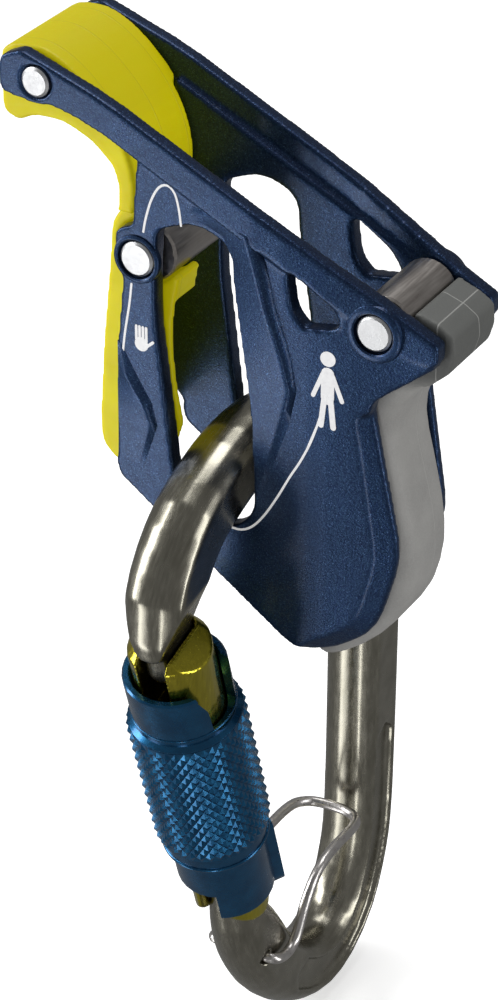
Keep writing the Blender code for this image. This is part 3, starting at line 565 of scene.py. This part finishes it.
def knurled_band():
    """A band of sharp four-sided pyramids, as a diamond knurling tool leaves."""
    edit = bmesh.new()
    columns = KNURL_COLUMNS * 2
    rows = KNURL_ROWS * 2
    grid = []
    for row in range(rows + 1):
        height = KNURL_FOOT + (KNURL_TOP - KNURL_FOOT) * row / rows
        edge = row in (0, rows)
        ring = []
        for column in range(columns):
            peak = (row + column) % 2 == 0 and not edge
            radius = KNURL_TIP if peak else KNURL_VALLEY
            angle = 2 * math.pi * column / columns
            ring.append(edit.verts.new(GATE_FRAME @ (Vector((
                radius * math.cos(angle), radius * math.sin(angle), height)) * MM)))
        grid.append(ring)
    for row in range(rows):
        for column in range(columns):
            after = (column + 1) % columns
            low_left, low_right = grid[row][column], grid[row][after]
            high_left, high_right = grid[row + 1][column], grid[row + 1][after]
            if (row + column) % 2 == 0:
                edit.faces.new((low_left, low_right, high_left))
                edit.faces.new((low_right, high_right, high_left))
            else:
                edit.faces.new((low_left, low_right, high_right))
                edit.faces.new((low_left, high_right, high_left))
    for ring, height in ((grid[0], KNURL_FOOT), (grid[-1], KNURL_TOP)):
        inner = []
        for column in range(columns):
            angle = 2 * math.pi * column / columns
            inner.append(edit.verts.new(GATE_FRAME @ (Vector((
                KNURL_BORE * math.cos(angle), KNURL_BORE * math.sin(angle), height)) * MM)))
        for column in range(columns):
            after = (column + 1) % columns
            edit.faces.new((ring[column], ring[after], inner[after], inner[column]))
        if height == KNURL_FOOT:
            foot = inner
    for column in range(columns):
        after = (column + 1) % columns
        edit.faces.new((foot[column], foot[after], inner[after], inner[column]))
    return new_piece("sleeve_knurl", edit, KNURLED, "sleeve", 5.0)


knurled_band()
# Each bead's ring radius, height up the gate and own radius.
BEADS = {"foot": (7.62, 11.75, 0.32), "shoulder": (7.42, 40.4, 0.16)}
BEAD_SIDES = 12
for label, (radius, height, bead) in BEADS.items():
    profile = [(radius + bead * math.cos(angle), height + bead * math.sin(angle))
               for angle in [2 * math.pi * step / BEAD_SIDES for step in range(BEAD_SIDES)]]
    turned_ring("sleeve_" + label + "_bead", profile, GATE_FRAME, BLUE, "sleeve",
                96)

# Web of the right plate behind the front guide's shoulder.
gusset = bmesh.new()
GUSSET_DEPTHS = (8.75, 9.8)
outline = [(-10.5, 20.2), (-4.0, 17.2), (-3.4, 12.0), (-4.6, 12.2), (-6.4, 15.5)]
layers = [[gusset.verts.new((x * MM, y * MM, z * MM)) for x, z in outline]
          for y in GUSSET_DEPTHS]
for index in range(len(outline)):
    after = (index + 1) % len(outline)
    gusset.faces.new((layers[0][index], layers[0][after], layers[1][after], layers[1][index]))
gusset.faces.new(layers[0])
gusset.faces.new(layers[1][::-1])
new_piece("right_plate_gusset", gusset, NAVY, "braking_body")

# ------------------------------------------------------------------ studio, camera

FLOOR_HALF_WIDTH = 3.0
FLOOR_GAP = 0.0005
low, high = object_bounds()
floor_mesh = bpy.data.meshes.new("floor")
floor_edit = bmesh.new()
bmesh.ops.create_grid(floor_edit, x_segments=1, y_segments=1, size=FLOOR_HALF_WIDTH)
floor_edit.to_mesh(floor_mesh)
floor_edit.free()
floor = bpy.data.objects.new("floor", floor_mesh)
floor.location = (0, 0, low[2] - FLOOR_GAP)
bpy.context.scene.collection.objects.link(floor)
paper = bpy.data.materials.new("floor_paper")
paper.use_nodes = True
paper_inputs = paper.node_tree.nodes["Principled BSDF"].inputs
paper_inputs["Base Color"].default_value = (0.9, 0.9, 0.9, 1)
paper_inputs["Roughness"].default_value = 0.9
paper_inputs["Emission Color"].default_value = (1, 1, 1, 1)
paper_inputs["Emission Strength"].default_value = 0.5
floor_mesh.materials.append(paper)
# The floor only shows behind the device: it neither lights it nor shows in it.
floor.visible_glossy = False
floor.visible_diffuse = False
floor.visible_shadow = False


def soft_box(name, place, aim, size, power, colour=(1, 1, 1)):
    data = bpy.data.lights.new(name, "AREA")
    data.shape = "RECTANGLE"
    data.size, data.size_y = size
    data.energy = power
    data.color = colour
    lamp = bpy.data.objects.new(name, data)
    lamp.location = place
    lamp.rotation_euler = (Vector(aim) - Vector(place)).to_track_quat("-Z", "Y").to_euler()
    bpy.context.scene.collection.objects.link(lamp)


centre = (0.01, 0.0, -0.05)
soft_box("top_box", (-0.1, 0.25, 0.9), centre, (0.5, 0.5), 4.5)
soft_box("left_box", (-0.75, -0.35, 0.25), centre, (0.25, 0.9), 6.5)
soft_box("low_left_box", (-0.42, -0.55, -0.48), centre, (0.24, 0.6), 1.9)
soft_box("low_front_box", (0.28, -0.66, -0.45), centre, (0.10, 0.5), 1.0)
soft_box("right_box", (0.8, 0.0, 0.1), centre, (0.18, 0.8), 2.6)

world = bpy.data.worlds.new("studio")
world.use_nodes = True
backdrop = world.node_tree.nodes["Background"].inputs
backdrop["Color"].default_value = (1, 1, 1, 1)
backdrop["Strength"].default_value = 0.22
bpy.context.scene.world = world

# The photograph's view. The focal length was chosen, not fitted.
CAMERA_PLACE = (0.20816, -0.34017, 0.19717)
CAMERA_TILT = math.radians(59.01)
CAMERA_HEADING = math.radians(30.05)
FOCAL_LENGTH = 118.8
SENSOR_WIDTH = 36.0
lens = bpy.data.cameras.new("camera")
lens.lens = FOCAL_LENGTH
lens.sensor_width = SENSOR_WIDTH
lens.clip_start = 0.01
camera = bpy.data.objects.new("camera", lens)
camera.location = CAMERA_PLACE
camera.rotation_euler = (CAMERA_TILT, 0.0, CAMERA_HEADING)
bpy.context.scene.collection.objects.link(camera)
bpy.context.scene.camera = camera
bpy.context.scene.view_settings.view_transform = "Standard"
